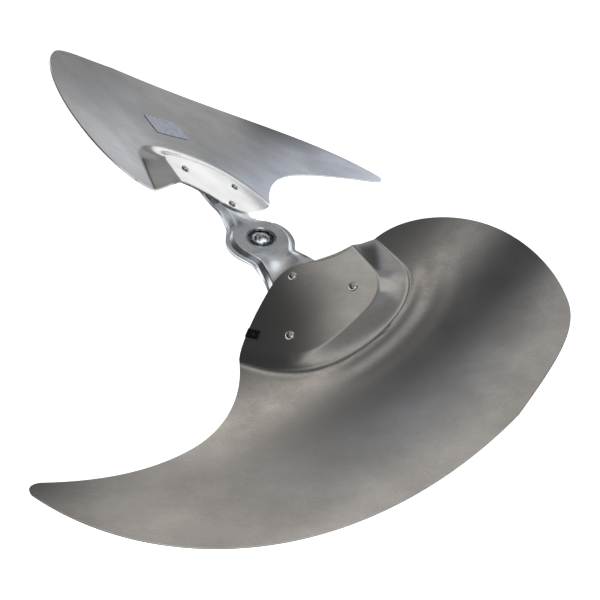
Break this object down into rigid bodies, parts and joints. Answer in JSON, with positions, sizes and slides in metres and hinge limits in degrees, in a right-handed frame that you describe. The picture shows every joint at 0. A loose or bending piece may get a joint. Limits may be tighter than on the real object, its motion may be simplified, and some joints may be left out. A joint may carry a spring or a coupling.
{
  "type": "axial fan propeller",
  "caption": "Axial fan propeller with swept sheet-metal blades riveted to a stamped, twisted arm that carries a bored hub for a motor shaft.",
  "frame": {"origin": "on the hub axis, level with the top of the arm's panel round the hub", "axes": "+Z along the hub axis to the side that the arm's panel faces, +X along the arm towards the near blade's rivets"},
  "size_m": [0.5592, 0.4998, 0.1594],
  "materials": {
    "zinc_plated_steel": "bright zinc plating on pressed steel sheet",
    "turned_steel": "turned and staked steel",
    "black_steel": "black oxide set screw",
    "blade_aluminium": "mill-finish rolled aluminium sheet with fine scratches",
    "rivet_aluminium": "bright pressed rivet",
    "spring_steel": "dark spring steel strip",
    "silver_foil": "blank silvery foil sticker"
  },
  "bodies": {
    "root": {"arm": "zinc_plated_steel", "hub_barrel": "turned_steel", "set_screw_x": "black_steel", "set_screw_y": "black_steel", "blade_near": "blade_aluminium", "blade_far": "blade_aluminium", "rivet_near_inner": "rivet_aluminium", "rivet_near_lead": "rivet_aluminium", "rivet_near_trail": "rivet_aluminium", "rivet_far_inner": "rivet_aluminium", "rivet_far_lead": "rivet_aluminium", "rivet_far_trail": "rivet_aluminium", "balance_clip": "spring_steel", "foil_label": "silver_foil"}
  },
  "joints": []
}
